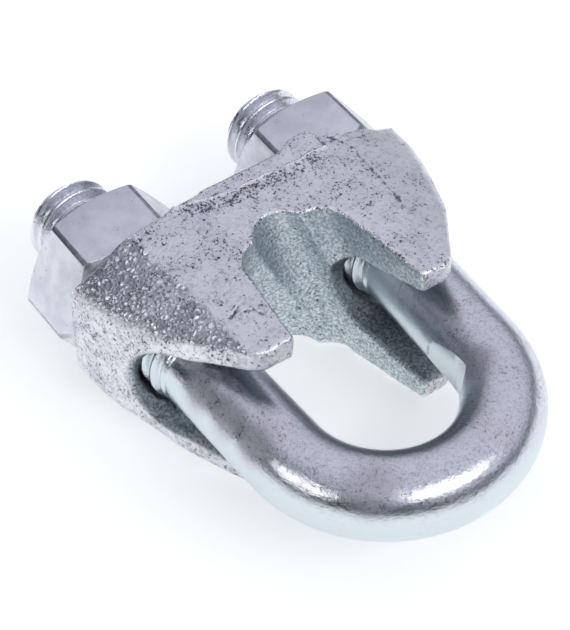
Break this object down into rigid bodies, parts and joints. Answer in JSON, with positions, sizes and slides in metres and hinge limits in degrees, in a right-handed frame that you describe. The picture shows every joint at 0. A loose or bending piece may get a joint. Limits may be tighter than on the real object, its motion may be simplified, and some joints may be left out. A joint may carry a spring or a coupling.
{
  "type": "wire rope clip",
  "caption": "U-bolt with two threaded ends, a cast forked saddle with a rope trough, and hexagon nuts that clamp the saddle onto a rope doubled back inside the bow.",
  "frame": {"origin": "under the middle of the bounding box, on the plane of the saddle's lower cheek, which the clip lies on", "axes": "+Y along the two legs from the bow to the nuts, +X across the legs, +Z along the rope, up"},
  "size_m": [0.035, 0.0454, 0.016],
  "materials": {
    "zinc_bar": "bright zinc plate over drawn round bar, satin with fine scuffs",
    "zinc_casting": "zinc plated malleable iron casting, matt and grainy",
    "zinc_nut": "bright zinc plate over machined faces, satin"
  },
  "bodies": {
    "u_bolt": {"u_bolt": "zinc_bar"},
    "saddle": {"saddle": "zinc_casting"},
    "nut_left": {"nut_left": "zinc_nut"},
    "nut_right": {"nut_right": "zinc_nut"}
  },
  "joints": [
    {"name": "saddle_slide", "type": "slide", "parent": "u_bolt", "child": "saddle", "axis": [0, 1, 0], "range_m": [-0.00875, 0.00375]},
    {"name": "nut_left_spin", "type": "hinge", "parent": "saddle", "child": "nut_left", "pos_m": [-0.01, 0.01077, 0.008], "axis": [0, 1, 0], "range_deg": [-2520, 1080]},
    {"name": "nut_right_spin", "type": "hinge", "parent": "saddle", "child": "nut_right", "pos_m": [0.01, 0.01077, 0.008], "axis": [0, 1, 0], "range_deg": [-2520, 1080]}
  ],
  "couplings": [
    {"joint": "saddle_slide", "follows": "nut_left_spin", "m_per_rad": 0.00019894},
    {"joint": "nut_right_spin", "follows": "nut_left_spin", "ratio": 1}
  ]
}
